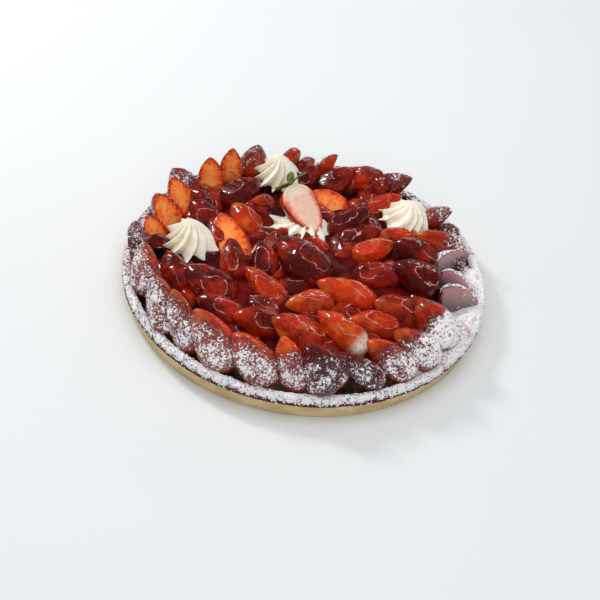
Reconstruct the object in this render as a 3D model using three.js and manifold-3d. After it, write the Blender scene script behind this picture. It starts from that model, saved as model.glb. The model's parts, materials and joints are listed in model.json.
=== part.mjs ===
// A strawberry tart of 22 cm: a shortcrust shell, almond cream, overlapping cut strawberries in three rings,
// four piped cream rosettes and a half strawberry with its leaves. Millimetres, +Z up, the table at z = 0.
import * as THREE from 'three';
import * as BufferGeometryUtils from 'three/addons/utils/BufferGeometryUtils.js';
import Module from 'manifold-3d';

const wasm = await Module();
wasm.setup();

// The shell
const TART_RADIUS = 110;
const FOOT_RADIUS = 107.5;
const WALL_HEIGHT = 15;
const RIM_WIDTH = 6;
const RIM_ROUND = 2.4;
const FLOOR = 5;
const RIM_INNER = TART_RADIUS - RIM_WIDTH;
const SHELL_STEPS = 80;
const RIM_WAVE = 0.4;
const FOOT_BEVEL = 1;

// The almond cream: level at the rim, a little higher under the inner rings
const CREAM_LEVEL = 10;
const CREAM_MIDDLE = 16;
const CREAM_SLOPE = [88, 60];
const GAP = 0.3;

// A strawberry half is widest this far from its stem end, with a full shoulder and a blunt, tapering tip
const SHOULDER = 0.34;
const SHOULDER_CURVE = 2.4;
const TIP_CURVE = 1.9;
const TIP_BLUNTNESS = 0.7;
const CROWN = 0.85;
const END_HEIGHT = 0.15;
const BERRY_STATIONS = 7;
const BERRY_SIDES = 6;

const COLOURS = {
  crust: 0xcfb482,
  almond: 0x8d7454,
  glazed: 0x8e1210,
  bright: 0xc8320f,
  dusted: 0xb98286,
  cut: 0xe0602c,
  cream: 0xf3efdc,
  leaf: 0x6f8a34,
};

const RAD = Math.PI / 180;

// Each row is a cut strawberry. Its stem end stands at an azimuth, radius and height in the tart. Its tip points
// at the middle of the tart, turned by an angle to the left, and rises by an angle. A roll of 0 has the skin up
// and the cut face down, and 180 the cut face up. Length, width and depth follow, then the colour.
// Rows are in the order in which the pieces lie on each other, the topmost first. Rows of one name are
// pieces that touch and are joined.
const INNER = [
  ['inner_01', -52, 22, 18, 17, 14, 0, 42, 28, 12, 'glazed'],
  ['inner_02', -163, 42, 16, 97, 17, 172, 41, 24, 9, 'cut'],
  ['inner_03', -36, 54, 17, 23, 11, -10, 38, 19, 11, 'bright'],
  ['inner_04', -61, 38, 16, 87, 14, -10, 31, 18, 10, 'bright'],
  ['inner_05', 17, 29, 17, -172, 20, 0, 28, 18, 9, 'bright'],
  ['inner_06', -148, 47, 16, 74, 24, 5, 29, 17, 9, 'glazed'],
  ['inner_06', -137, 28, 15, 70, 26, 0, 27, 19, 10, 'glazed'],
  ['inner_07', -11, 29, 15, -173, 15, 0, 31, 20, 10, 'glazed'],
  ['inner_08', -101, 40, 15, 64, 13, -30, 36, 16, 9, 'bright'],
  ['inner_09', 50, 26, 15, 156, 18, 20, 32, 17, 9, 'glazed'],
  ['inner_09', 69, 31, 17, 152, 16, 20, 34, 17, 9, 'glazed'],
  ['inner_10', 68, 57, 18, -79, 22, 150, 27, 18, 8, 'cut'],
  ['inner_11', 152, 38, 16, 165, 28, 8, 26, 20, 10, 'bright'],
];

const OUTER = [
  ['outer_01', -31, 103, 13, -12, 31, -10, 35, 24, 12, 'dusted'],
  ['outer_02', -39, 103, 13, 37, 35, -20, 33, 22, 11, 'dusted'],
  ['outer_03', -75, 99, 13, 52, 44, -30, 30, 28, 13, 'dusted'],
  ['outer_04', -109, 98, 12, 67, 33, -42, 40, 24, 11, 'dusted'],
  ['outer_05', -134, 99, 12, 76, 38, -45, 36, 20, 10, 'dusted'],
  ['outer_06', -95, 99, 12, 64, 36, -35, 36, 22, 10, 'dusted'],
  ['outer_07', -49, 103, 13, 39, 31, -40, 34, 20, 10, 'dusted'],
  ['outer_08', -123, 99, 12, 68, 37, -50, 38, 18, 9, 'dusted'],
  ['outer_09', -153, 96, 12, 85, 42, -60, 33, 22, 10, 'bright'],
  ['outer_10', -86, 100, 12, 36, 46, -55, 32, 19, 9, 'dusted'],
  ['outer_11', -60, 102, 14, 54, 27, -50, 34, 16, 8, 'dusted'],
  ['outer_12', -12, 82, 14, -159, 8, -105, 25, 25, 11, 'dusted'],
  ['outer_13', 2, 79, 14, 149, 6, -105, 27, 24, 10, 'dusted'],
  ['outer_14', 7, 79, 14, -141, 4, -105, 31, 21, 10, 'dusted'],
  ['outer_15', 20, 103, 12, -14, 24, -20, 35, 19, 10, 'bright'],
  ['outer_16', 177, 87, 12, 170, 52, 180, 22, 21, 8, 'cut'],
  ['outer_17', 166, 84, 12, 172, 50, 176, 27, 22, 8, 'cut'],
  ['outer_18', 155, 83, 12, 172, 47, 172, 28, 19, 8, 'cut'],
  ['outer_19', 147, 93, 12, -168, 52, -20, 25, 22, 9, 'dusted'],
  ['outer_20', 138, 91, 12, 146, 62, 168, 24, 17, 7, 'cut'],
  ['outer_21', 128, 93, 12, 142, 70, 172, 25, 16, 7, 'cut'],
  ['outer_22', 119, 93, 12, 130, 66, 20, 25, 20, 9, 'dusted'],
  ['outer_23', 103, 94, 12, 35, 74, 10, 27, 18, 9, 'glazed'],
  ['outer_24', 89, 93, 12, 88, 68, 5, 24, 16, 8, 'bright'],
  ['outer_24', 97, 95, 12, 60, 62, 15, 18, 19, 8, 'dusted'],
  ['outer_25', 81, 91, 12, 90, 34, 35, 33, 18, 9, 'dusted'],
  ['outer_26', 70, 90, 12, 104, 34, 40, 36, 18, 10, 'glazed'],
  ['outer_27', 39, 91, 12, 112, 53, 25, 29, 17, 9, 'glazed'],
  ['outer_27', 32, 95, 12, 113, 38, 20, 19, 17, 8, 'dusted'],
];

const MIDDLE = [
  ['middle_01', -60, 79, 15, 31, 21, -5, 36, 18, 11, 'bright'],
  ['middle_02', -77, 70, 14, 66, 23, -5, 34, 24, 11, 'bright'],
  ['middle_03', -38, 74, 15, 48, 13, -12, 33, 18, 10, 'bright'],
  ['middle_04', -133, 57, 16, 112, 17, -18, 35, 23, 11, 'glazed'],
  ['middle_05', -119, 66, 15, 106, 20, -20, 29, 20, 9, 'glazed'],
  ['middle_06', -99, 59, 15, 108, 20, -15, 30, 20, 10, 'glazed'],
  ['middle_07', 142, 72, 15, 88, 15, 0, 32, 22, 11, 'glazed'],
  ['middle_08', 12, 80, 14, -14, 28, -8, 31, 22, 11, 'glazed'],
  ['middle_09', -4, 80, 14, -2, 27, -10, 32, 26, 12, 'glazed'],
  ['middle_10', -27, 75, 14, 30, 24, -10, 28, 22, 11, 'glazed'],
  ['middle_11', 28, 80, 15, -13, 13, -22, 33, 17, 9, 'bright'],
  ['middle_12', 88, 71, 16, 132, 26, 15, 29, 18, 9, 'glazed'],
  ['middle_12', 98, 74, 15, 138, 44, 5, 20, 17, 9, 'glazed'],
  ['middle_13', 158, 63, 14, 176, 30, 0, 24, 20, 9, 'glazed'],
  ['middle_14', -149, 78, 14, 92, 25, -45, 30, 19, 10, 'glazed'],
];

// Each rosette: azimuth, radius, height of its foot, its own radius and height, where its peak leans, first ridge
const ROSETTES = [
  ['cream_left', -178, 72, 20, 16, 17, 100, 4, 10],
  ['cream_back', 110, 78, 22, 15, 17, 100, 3, 35],
  ['cream_right', 40, 75, 22, 17, 14, 60, 4, 0],
  ['cream_middle', 105, 31, 18, 20, 12, 60, 3, 20],
];
const RIDGES = 10;
const RIDGE_STEPS = 4;
const RIDGE_DEPTH = 0.2;
const RIDGE_SHARPNESS = 1.5;
const HOLLOW_DEPTH = 0.6;
const RIDGE_TWIST = -50;
const ROSETTE_FULLNESS = 0.86;
// The sides of a ridge are steep, so a grown rosette reaches further out than the gap
const RIDGE_GROW = 2.6;
// How wide a rosette is at six heights, both as shares
const ROSETTE_LEVELS = [[0, 0.72], [0.08, 1], [0.25, 0.97], [0.48, 0.8], [0.7, 0.56], [0.88, 0.3]];

// The half strawberry on top, cut face up, and its leaves
const GARNISH = ['garnish_half', 110, 47, 41, 25, -31, 180, 35, 24, 11, 'cut'];
const LEAVES = 5;
const LEAF_LENGTH = 12;
const LEAF_THICK = 0.7;
const LEAF_START = 0.8;
const LEAF_DROOP = 2.2;
const LEAF_CURL = 1.6;
const LEAF_POINT = 1.6;
const LEAF_WAIST = 0.3;

function finish(colour, roughness = 0.35) {
  return new THREE.MeshStandardMaterial({ color: COLOURS[colour], roughness, metalness: 0 });
}

// Closed surface from rings of points of equal count, with a point at each end
function skin(rings, first, last) {
  const count = rings[0].length;
  const points = [first, ...rings.flat(), last];
  const faces = [];
  for (let i = 0; i < count; i += 1) {
    const j = (i + 1) % count;
    faces.push([0, 1 + j, 1 + i]);
    for (let k = 0; k + 1 < rings.length; k += 1) {
      const a = 1 + k * count;
      const b = a + count;
      faces.push([a + i, a + j, b + j], [a + i, b + j, b + i]);
    }
    const end = 1 + (rings.length - 1) * count;
    faces.push([end + i, end + j, points.length - 1]);
  }
  const shape = new THREE.BufferGeometry();
  shape.setAttribute('position', new THREE.Float32BufferAttribute(points.flat(), 3));
  shape.setIndex(faces.flat());
  return shape;
}

// How wide a strawberry is along its length, 0 at the stem end and 1 at the tip
function berryOutline(u) {
  if (u < SHOULDER) {
    return Math.sqrt(1 - ((SHOULDER - u) / SHOULDER) ** SHOULDER_CURVE);
  }
  return (1 - ((u - SHOULDER) / (1 - SHOULDER)) ** TIP_CURVE) ** TIP_BLUNTNESS;
}

// A half strawberry along +X, its cut face at z = 0 and its skin above, grown all round by some millimetres
function berryShape(length, width, depth, grow = 0) {
  const rings = [];
  for (let k = 1; k < BERRY_STATIONS; k += 1) {
    const u = 0.5 - 0.5 * Math.cos((Math.PI * k) / BERRY_STATIONS);
    const x = u * length + grow * (2 * u - 1);
    const half = (berryOutline(u) * width) / 2 + grow;
    const high = depth * berryOutline(u) ** 0.8;
    const ring = [];
    for (let i = 0; i <= BERRY_SIDES; i += 1) {
      const turn = (Math.PI * i) / BERRY_SIDES;
      const edge = i === 0 || i === BERRY_SIDES;
      const up = edge ? 0 : Math.sin(turn);
      ring.push([x, half * Math.cos(turn), high * up ** CROWN + grow * (edge ? -1 : 1)]);
    }
    rings.push(ring);
  }
  const middle = depth * END_HEIGHT - grow;
  return skin(rings, [-grow, 0, middle], [length + grow, 0, middle]);
}

// The place of a strawberry in the tart
function berryPlace([, azimuth, radius, lift, turn, rise, roll]) {
  const heading = new THREE.Matrix4().makeRotationZ((azimuth + 180 + turn) * RAD);
  const climb = new THREE.Matrix4().makeRotationY(-rise * RAD);
  const rolled = new THREE.Matrix4().makeRotationX(roll * RAD);
  const foot = new THREE.Matrix4().makeTranslation(
    radius * Math.cos(azimuth * RAD), radius * Math.sin(azimuth * RAD), lift);
  return foot.multiply(heading).multiply(climb).multiply(rolled);
}

function berry(row, grow = 0) {
  const [, , , , , , , length, width, depth] = row;
  return berryShape(length, width, depth, grow).applyMatrix4(berryPlace(row));
}

// A piped rosette: ridges that wind from the peak down to pointed ends
function rosette([, azimuth, radius, lift, across, high, leanTo, lean, first], grow = 0) {
  const around = RIDGES * RIDGE_STEPS;
  const rings = ROSETTE_LEVELS.map(([up, wide]) => {
    const ring = [];
    for (let i = 0; i < around; i += 1) {
      const angle = (360 * i) / around;
      const wave = Math.cos(RIDGES * (angle - first) * RAD);
      const ridge = 1 + RIDGE_DEPTH * (wave > 0 ? wave ** RIDGE_SHARPNESS : wave * HOLLOW_DEPTH);
      const turned = (angle + RIDGE_TWIST * (1 - up)) * RAD;
      const reach = across * wide * ridge * ROSETTE_FULLNESS + RIDGE_GROW * grow;
      ring.push([
        reach * Math.cos(turned) + lean * up * Math.cos(leanTo * RAD),
        reach * Math.sin(turned) + lean * up * Math.sin(leanTo * RAD),
        high * up + grow * (2 * up - 1),
      ]);
    }
    return ring;
  });
  const peak = [lean * Math.cos(leanTo * RAD), lean * Math.sin(leanTo * RAD), high + grow];
  const shape = skin(rings, [0, 0, -grow], peak);
  return shape.translate(radius * Math.cos(azimuth * RAD), radius * Math.sin(azimuth * RAD), lift);
}

// The small leaves at the stem end of the garnish: one thin wavy star
function leaves() {
  const around = LEAVES * 6;
  const levels = [0.22, 0.45, 0.72, 1];
  const side = (drop) => levels.map((level) => {
    const ring = [];
    for (let i = 0; i < around; i += 1) {
      const angle = (2 * Math.PI * i) / around;
      const lobe = LEAF_WAIST + (1 - LEAF_WAIST) * Math.abs(Math.cos((LEAVES * angle) / 2)) ** LEAF_POINT;
      const reach = LEAF_LENGTH * level * lobe;
      const curl = LEAF_CURL * level * level * lobe * Math.cos(3 * angle + 0.7);
      const along = curl - LEAF_START - LEAF_DROOP * level * lobe - drop;
      ring.push([along, reach * Math.cos(angle), reach * Math.sin(angle)]);
    }
    return ring;
  });
  const over = side(LEAF_THICK);
  const under = side(0).reverse();
  const star = skin([...over, ...under], [-LEAF_START - LEAF_THICK, 0, 0], [-LEAF_START, 0, 0]);
  return star.applyMatrix4(berryPlace(GARNISH));
}

// Turns a profile of [radius, height] about the tart's axis. The rim's height waves a little, in three rhythms.
function turned(profile, wave = 0) {
  const outline = profile.map(([r, z]) => new THREE.Vector2(r, z));
  const shape = new THREE.LatheGeometry(outline, SHELL_STEPS).rotateX(Math.PI / 2);
  const at = shape.getAttribute('position');
  for (let i = 0; i < at.count; i += 1) {
    const angle = Math.atan2(at.getY(i), at.getX(i));
    const high = Math.max(0, (at.getZ(i) - FLOOR) / WALL_HEIGHT);
    const uneven = Math.sin(3 * angle + 1) + 0.6 * Math.sin(7 * angle) + 0.4 * Math.sin(13 * angle + 2);
    at.setZ(i, at.getZ(i) + wave * high * uneven);
  }
  return shape;
}

function crustShape(grow = 0) {
  const inner = RIM_INNER - grow;
  const top = WALL_HEIGHT + grow;
  return turned([
    [0, 0],
    [FOOT_RADIUS - FOOT_BEVEL, 0],
    [FOOT_RADIUS, FOOT_BEVEL],
    [TART_RADIUS, WALL_HEIGHT - 2 * RIM_ROUND],
    [TART_RADIUS - RIM_ROUND * 0.2, WALL_HEIGHT - RIM_ROUND * 0.6],
    [TART_RADIUS - RIM_ROUND * 0.75, top],
    [inner + RIM_ROUND * 0.65, top],
    [inner, WALL_HEIGHT - RIM_ROUND * 0.6],
    [inner - 1, FLOOR],
    [0, FLOOR],
  ], RIM_WAVE);
}

function fillingShape() {
  const edge = RIM_INNER - 1 - 2 * GAP;
  return turned([
    [0, FLOOR + GAP],
    [edge, FLOOR + GAP],
    [edge, CREAM_LEVEL],
    [CREAM_SLOPE[0], CREAM_LEVEL],
    [CREAM_SLOPE[1], CREAM_MIDDLE],
    [0, CREAM_MIDDLE],
  ]);
}

// A closed three.js shape as a solid that can be cut, and back
function solid(shape) {
  const bare = shape.clone();
  bare.deleteAttribute('normal');
  bare.deleteAttribute('uv');
  const merged = BufferGeometryUtils.mergeVertices(bare, 1e-4);
  return new wasm.Manifold(new wasm.Mesh({
    numProp: 3,
    vertProperties: new Float32Array(merged.getAttribute('position').array),
    triVerts: new Uint32Array(merged.index.array),
  }));
}

function geometry(body) {
  const mesh = body.getMesh();
  const shape = new THREE.BufferGeometry();
  shape.setAttribute('position', new THREE.BufferAttribute(mesh.vertProperties.slice(), 3));
  shape.setIndex(new THREE.BufferAttribute(mesh.triVerts.slice(), 1));
  shape.computeVertexNormals();
  return shape;
}

function largest(body) {
  const parts = body.decompose();
  return parts.reduce((best, part) => (part.volume() > best.volume() ? part : best));
}

const tart = new THREE.Group();

function add(name, body, colour, roughness) {
  const piece = new THREE.Mesh(geometry(body), finish(colour, roughness));
  piece.name = name;
  tart.add(piece);
}

const crust = solid(crustShape());
const filling = solid(fillingShape());
add('crust', crust, 'crust', 0.8);
add('filling', filling, 'almond', 0.7);

// What is already in place, grown by the gap, is cut away from each piece that lies under it
let taken = solid(crustShape(GAP)).add(solid(fillingShape().translate(0, 0, GAP)));

function lay(name, shapes, grown, colour, roughness) {
  const whole = shapes.map(solid).reduce((one, other) => one.add(other));
  add(name, largest(whole.subtract(taken)), colour, roughness);
  taken = grown.map(solid).reduce((one, other) => one.add(other), taken);
}

lay('garnish_leaves', [leaves()], [leaves()], 'leaf', 0.5);
lay(GARNISH[0], [berry(GARNISH)], [berry(GARNISH, GAP)], GARNISH.at(-1));
for (const row of ROSETTES) {
  lay(row[0], [rosette(row)], [rosette(row, GAP)], 'cream', 0.5);
}
const berries = [...INNER.slice(0, 7), ...OUTER, ...MIDDLE, ...INNER.slice(7)];
for (const name of new Set(berries.map((row) => row[0]))) {
  const rows = berries.filter((row) => row[0] === name);
  lay(name, rows.map((row) => berry(row)), rows.map((row) => berry(row, GAP)), rows[0].at(-1));
}

export default tart;
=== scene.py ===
# %% [markdown]
# A strawberry tart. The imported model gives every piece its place: a pastry shell, almond cream, three rings
# of cut strawberries, four rosettes and a half strawberry on top. This script dresses it. Each piece is made
# again as a fine mesh from the same named sizes, and each surface gets a finish made from nodes.

# %% The frame
import bpy
import json
import math
import numpy as np
from mathutils import Matrix, Vector


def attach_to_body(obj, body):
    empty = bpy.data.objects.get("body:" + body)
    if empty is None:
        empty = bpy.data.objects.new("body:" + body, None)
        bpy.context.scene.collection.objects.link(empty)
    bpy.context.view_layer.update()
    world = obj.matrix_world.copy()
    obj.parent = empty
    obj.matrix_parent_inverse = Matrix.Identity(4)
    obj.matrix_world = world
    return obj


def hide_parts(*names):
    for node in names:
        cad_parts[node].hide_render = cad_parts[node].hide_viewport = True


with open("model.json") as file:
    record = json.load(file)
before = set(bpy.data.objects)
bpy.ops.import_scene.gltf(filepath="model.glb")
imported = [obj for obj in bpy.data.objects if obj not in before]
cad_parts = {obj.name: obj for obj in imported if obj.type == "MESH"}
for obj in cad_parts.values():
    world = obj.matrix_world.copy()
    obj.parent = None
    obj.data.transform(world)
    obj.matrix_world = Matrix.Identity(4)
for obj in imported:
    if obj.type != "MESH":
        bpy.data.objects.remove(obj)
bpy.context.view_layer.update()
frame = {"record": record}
MM = 0.001

# %% [markdown]
# The photograph looks down at the tart at about 42 degrees, and the tart lies a little tilted in it. Here
# it stands level, and the camera takes the small roll instead, so the picture is the same.

# %% Camera
IMAGE_ANGLE = 30.0
CAMERA_ELEVATION = math.radians(42.4)
CAMERA_ROLL = math.radians(8.15)
CAMERA_DISTANCE = 0.677
CAMERA_TARGET = Vector((-0.0006, -0.0143, 0.0))
SENSOR_WIDTH = 36.0
NEAR_CLIP = 0.02


def add_object(name, data):
    made = bpy.data.objects.new(name, data)
    bpy.context.scene.collection.objects.link(made)
    return made


def make_camera():
    forward = Vector((0, math.cos(CAMERA_ELEVATION), -math.sin(CAMERA_ELEVATION)))
    right = Vector((1, 0, 0))
    up = right.cross(forward)
    turn = Matrix.Rotation(-CAMERA_ROLL, 3, forward)
    right, up = turn @ right, turn @ up
    lens = bpy.data.cameras.new("camera")
    lens.sensor_width = SENSOR_WIDTH
    lens.lens = SENSOR_WIDTH / 2 / math.tan(math.radians(IMAGE_ANGLE) / 2)
    lens.clip_start = NEAR_CLIP
    camera = add_object("camera", lens)
    pose = Matrix((right, up, -forward)).transposed().to_4x4()
    pose.translation = CAMERA_TARGET - forward * CAMERA_DISTANCE
    camera.matrix_world = pose
    bpy.context.scene.camera = camera
    print("camera at", [round(v, 3) for v in pose.translation])


make_camera()

# %% [markdown]
# The picture is a bright one: a near-white ground and big soft lights. One light behind on the left draws
# the small bright lines on the glaze. The wide ones only light the tart and aren't mirrored in the glaze,
# which would turn its dark red grey.

# %% Light
LIT_POINT = Vector((0, 0, 0.02))
SKY = (0.95, 0.97, 1.0, 1)


def area_light(name, place, size, power, colour=(1, 1, 1), mirrored=True):
    lamp = bpy.data.lights.new(name, "AREA")
    lamp.shape = "RECTANGLE"
    lamp.size, lamp.size_y = size
    lamp.energy = power
    lamp.color = colour
    light = add_object(name, lamp)
    light.location = place
    aim = LIT_POINT - Vector(place)
    light.rotation_euler = aim.to_track_quat("-Z", "Y").to_euler()
    light.visible_glossy = mirrored


def make_world(strength, mirrored_strength):
    """A pale sky that lights the tart, and that gloss sees weaker than it lights."""
    world = bpy.data.worlds.new("studio")
    world.use_nodes = True
    tree = world.node_tree
    background = tree.nodes["Background"]
    background.inputs["Color"].default_value = SKY
    rays = tree.nodes.new("ShaderNodeLightPath")
    choose = tree.nodes.new("ShaderNodeMapRange")
    choose.inputs["To Min"].default_value = strength
    choose.inputs["To Max"].default_value = mirrored_strength
    tree.links.new(rays.outputs["Is Glossy Ray"], choose.inputs["Value"])
    tree.links.new(choose.outputs["Result"], background.inputs["Strength"])
    bpy.context.scene.world = world


area_light("window_left", (-0.75, 0.55, 0.75), (0.16, 0.26), 6.0, (1.0, 0.98, 0.95))
area_light("strip_back", (0.35, 0.95, 0.45), (0.7, 0.05), 0.7)
area_light("overhead", (0.1, 0.1, 1.25), (1.2, 1.2), 7.0, mirrored=False)
area_light("front_fill", (0.2, -1.2, 0.8), (0.9, 0.5), 4.2, mirrored=False)
make_world(0.5, 0.1)
bpy.context.scene.view_settings.view_transform = "Standard"
print("lights:", len(bpy.data.lights))

# %% [markdown]
# Shader maths reads best as sums. A Wire wraps one socket of a node tree, and + - * between wires and
# numbers add Math nodes. NodeMaker adds any other node through one method. A Finish is a material built with
# it, and further down a Growth is a Geometry Nodes tree built with it.

# %% Wires
class Wire:
    def __init__(self, tree, socket):
        self.tree = tree
        self.socket = socket

    def math(self, operation, *others):
        node = self.tree.nodes.new("ShaderNodeMath")
        node.operation = operation
        for slot, value in enumerate((self, *others)):
            feed(self.tree, node.inputs[slot], value)
        return Wire(self.tree, node.outputs[0])

    def __add__(self, other):
        return self.math("ADD", other)

    __radd__ = __add__

    def __sub__(self, other):
        return self.math("SUBTRACT", other)

    def __rsub__(self, other):
        return (self * -1) + other

    def __mul__(self, other):
        return self.math("MULTIPLY", other)

    __rmul__ = __mul__

    def between(self, low, high):
        """0 below low and 1 above high, smooth in the middle."""
        node = self.tree.nodes.new("ShaderNodeMapRange")
        node.interpolation_type = "SMOOTHSTEP"
        for slot, value in enumerate((self, low, high, 0.0, 1.0)):
            feed(self.tree, node.inputs[slot], value)
        return Wire(self.tree, node.outputs[0])

    def clamp(self):
        return self.math("MAXIMUM", 0.0).math("MINIMUM", 1.0)

    def beside(self, name):
        """Another output of the same node."""
        return Wire(self.tree, self.socket.node.outputs[name])


def feed(tree, socket, value):
    if isinstance(value, Wire):
        tree.links.new(value.socket, socket)
    elif isinstance(value, tuple) and len(value) == 3 and socket.type == "RGBA":
        socket.default_value = (*value, 1)
    else:
        socket.default_value = value


# %% Nodes and finishes
class NodeMaker:
    def __init__(self, tree):
        self.tree = tree

    def node(self, kind, settings=None, inputs=None, output=0):
        node = self.tree.nodes.new(kind)
        for key, value in (settings or {}).items():
            setattr(node, key, value)
        for key, value in (inputs or {}).items():
            feed(self.tree, node.inputs[key], value)
        return Wire(self.tree, node.outputs[output])


class Finish(NodeMaker):
    def __init__(self, name, **settings):
        self.material = bpy.data.materials.new(name)
        self.material.use_nodes = True
        super().__init__(self.material.node_tree)
        self.shader = self.tree.nodes["Principled BSDF"]
        self.set(**settings)

    def set(self, **values):
        for key, value in values.items():
            feed(self.tree, self.shader.inputs[key.replace("_", " ")], value)

    def place(self):
        return self.node("ShaderNodeTexCoord", output=3)

    def value(self, attribute):
        return self.node("ShaderNodeAttribute", {"attribute_name": attribute}, output=2)

    def height(self):
        return self.node("ShaderNodeSeparateXYZ", None, {0: self.place()}, 2)

    def noise(self, size_mm, detail=2.0, rough=0.5, distortion=0.0):
        return self.node("ShaderNodeTexNoise", None, {
            "Vector": self.place(), "Scale": 1 / (size_mm * MM), "Detail": detail,
            "Roughness": rough, "Distortion": distortion})

    def blend(self, first, second, amount):
        return self.node("ShaderNodeMix", {"data_type": "RGBA"}, {0: amount, 6: first, 7: second}, 2)

    def bump(self, height, depth_mm):
        return self.node("ShaderNodeBump", None, {"Height": height, "Distance": depth_mm * MM})


# %% [markdown]
# Every solid here is a stack of closed rings with a point at each end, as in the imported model. One function
# turns rings of points into a mesh, with any number of named values on its points for the finishes to read.

# %% Rings
def grid_faces(rings, count):
    """Faces of a closed tube of rings, with a fan to a first and a last point."""
    faces = [(0, 1 + (i + 1) % count, 1 + i) for i in range(count)]
    for k in range(rings - 1):
        a, b = 1 + k * count, 1 + (k + 1) * count
        faces += [(a + i, a + (i + 1) % count, b + (i + 1) % count, b + i) for i in range(count)]
    last, end = 1 + (rings - 1) * count, 1 + rings * count
    faces += [(last + i, last + (i + 1) % count, end) for i in range(count)]
    return faces


def with_ends(values, first=0, last=0):
    """The values of all the rings, between those of the first and the last point."""
    return np.concatenate([[first], np.ravel(values), [last]])


def turned_rings(radius, height, steps):
    """Rings of points round the tart's middle, each at one height. A radius may vary along its ring."""
    angle = -np.linspace(0, 2 * math.pi, steps, endpoint=False)
    wide = np.reshape(radius, (len(height), -1)) + 0 * angle
    high = np.reshape(height, (-1, 1)) + 0 * angle
    return np.stack([wide * np.cos(angle), wide * np.sin(angle), high], axis=-1).reshape(-1, 3)


# %% Meshes with named values
def add_values(mesh, values):
    """Stores a number or a vector for each point, under the names that finishes and growths read."""
    for key, numbers in values.items():
        numbers = np.asarray(numbers, dtype=np.float32)
        kind, field = ("FLOAT", "value") if numbers.ndim == 1 else ("FLOAT_VECTOR", "vector")
        layer = mesh.attributes.new(key, kind, "POINT")
        layer.data.foreach_set(field, numbers.ravel())


def make_object(name, points, faces, material, values=None, smooth=True):
    mesh = bpy.data.meshes.new(name)
    mesh.from_pydata((np.asarray(points) * MM).tolist(), [], faces)
    add_values(mesh, values or {})
    mesh.polygons.foreach_set("use_smooth", [smooth] * len(mesh.polygons))
    mesh.materials.append(material)
    mesh.update()
    return add_object(name, mesh)


# %% Smooth steps and waves
def smoothstep(low, high, x):
    t = np.clip((x - low) / (high - low), 0, 1)
    return t * t * (3 - 2 * t)


def uneven(points, size_mm, seed):
    """A smooth wavy value between about -1 and 1, from a few crossed waves."""
    draw = np.random.default_rng(seed)
    total = 0
    for _ in range(5):
        way = draw.normal(size=3)
        way /= np.linalg.norm(way)
        total = total + np.sin(points @ way * 2 * math.pi / (size_mm * draw.uniform(0.7, 1.5))
                               + draw.uniform(0, 6.3))
    return total / 3


def uneven_shift(points, size_mm, seed):
    return np.stack([uneven(points, size_mm, seed + axis) for axis in range(3)], axis=1)


# %% [markdown]
# The shell is shortcrust: a plain upright wall that leans out a little, with a rounded, uneven top edge. A
# Screw modifier could turn it from a curve. Here its rings are worked out as numbers, because then the same
# numbers can carry the small waves that keep it from looking machined, and how much icing sugar lies where.

# %% Sizes of the shell
TART_RADIUS = 110
FOOT_RADIUS = 107.5
WALL_HEIGHT = 15
RIM_WIDTH = 6
RIM_ROUND = 2.4
RIM_FULLNESS = 0.7
RIM_INNER = TART_RADIUS - RIM_WIDTH
RIM_WAVE = 0.4
FLOOR = 5
SHELL_STEPS = 720
WALL_STEPS = 14
RIM_STEPS = 26
SUGAR_HEAP = 1.0


# %% Places round the tart
def polar(azimuth, radius):
    return radius * math.cos(math.radians(azimuth)), radius * math.sin(math.radians(azimuth))


def azimuth_gap(angle, middle):
    return np.abs((angle - middle + 180) % 360 - 180)


def sugar_fall(points, least=0.56):
    """How much icing sugar falls at a place: most at the front and right, little at the back left."""
    angle = np.degrees(np.arctan2(points[:, 1], points[:, 0]))
    front = 1 - smoothstep(75, 150, azimuth_gap(angle, -65))
    heap = 1 - smoothstep(12, 38, azimuth_gap(angle, -18))
    return least + 0.28 * front + 0.33 * heap


# %% The shell's profile
def shell_profile():
    """Radius and height from the middle of the underside round to the middle of the floor."""
    wall_top = WALL_HEIGHT - 2 * RIM_ROUND
    points = [(0, 0), (FOOT_RADIUS * 0.5, 0), (FOOT_RADIUS - 1.2, 0), (FOOT_RADIUS - 0.3, 0.3)]
    points.append((FOOT_RADIUS, 1))
    for t in np.linspace(0.1, 1, WALL_STEPS):
        points.append((FOOT_RADIUS + (TART_RADIUS - FOOT_RADIUS) * t, 1 + (wall_top - 1) * t))
    middle = (TART_RADIUS + RIM_INNER) / 2
    half = (TART_RADIUS - RIM_INNER) / 2
    for turn in np.linspace(0, math.pi, RIM_STEPS)[1:-1]:
        reach = np.sign(math.cos(turn)) * abs(math.cos(turn)) ** RIM_FULLNESS
        rise = math.sin(turn) ** RIM_FULLNESS
        points.append((middle + half * reach, wall_top + 2 * RIM_ROUND * rise))
    points += [(RIM_INNER, wall_top), (RIM_INNER - 0.6, 8), (RIM_INNER - 1, FLOOR), (60, FLOOR), (0, FLOOR)]
    return points


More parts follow.
